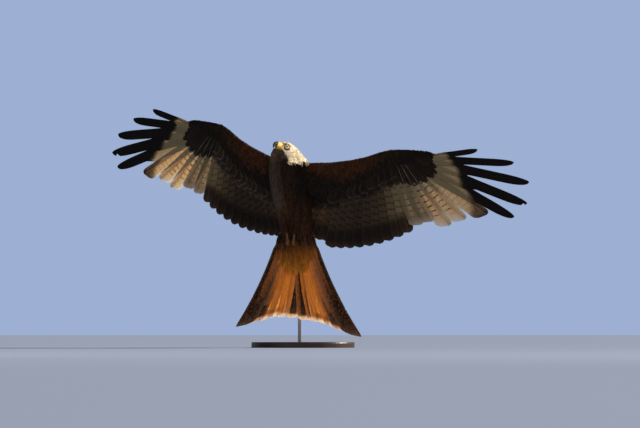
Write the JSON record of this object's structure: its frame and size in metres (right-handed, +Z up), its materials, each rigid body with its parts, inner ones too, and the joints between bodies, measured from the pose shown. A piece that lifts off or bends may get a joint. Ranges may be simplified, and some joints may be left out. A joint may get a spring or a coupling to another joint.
{
  "type": "red kite bird",
  "caption": "Life-size red kite in soaring flight, wings spread and tail fanned, head turned to look down, held by a plain round stand with a rod at its back.",
  "frame": {"origin": "centre of the underside of the stand's round base", "axes": "+Z up and towards the head, the belly towards -Y, the bird's left wing towards +X"},
  "size_m": [1.4158, 0.6429, 0.8172],
  "materials": {
    "head_feathers": "pale, finely streaked feathers",
    "neck_feathers": "streaked grey-brown and rufous feathers",
    "body_feathers": "rufous-brown feathers with dark streaks",
    "wing_feathers": "dark feathers with a pale primary panel",
    "tail_feathers": "orange-rufous feathers, darker at the corners",
    "bill_horn": "smooth dark horn with a yellow cere",
    "eye": "wet, pale iris and black pupil",
    "foot_skin": "yellow scaled skin",
    "claw_horn": "smooth black horn",
    "stand_wood": "dark stained, satin",
    "stand_steel": "brushed"
  },
  "bodies": {
    "root": {"head": "head_feathers", "neck": "neck_feathers", "torso": "body_feathers", "tail": "tail_feathers", "wing_left": "wing_feathers", "wing_right": "wing_feathers", "leg_left": "body_feathers", "leg_right": "body_feathers", "foot_left": "foot_skin", "foot_right": "foot_skin", "bill_upper": "bill_horn", "bill_lower": "bill_horn", "eye_left": "eye", "eye_right": "eye", "stand_base": "stand_wood", "stand_rod": "stand_steel", "claw_left_1": "claw_horn", "claw_left_2": "claw_horn", "claw_left_3": "claw_horn", "claw_left_4": "claw_horn", "claw_right_1": "claw_horn", "claw_right_2": "claw_horn", "claw_right_3": "claw_horn", "claw_right_4": "claw_horn"}
  },
  "joints": []
}
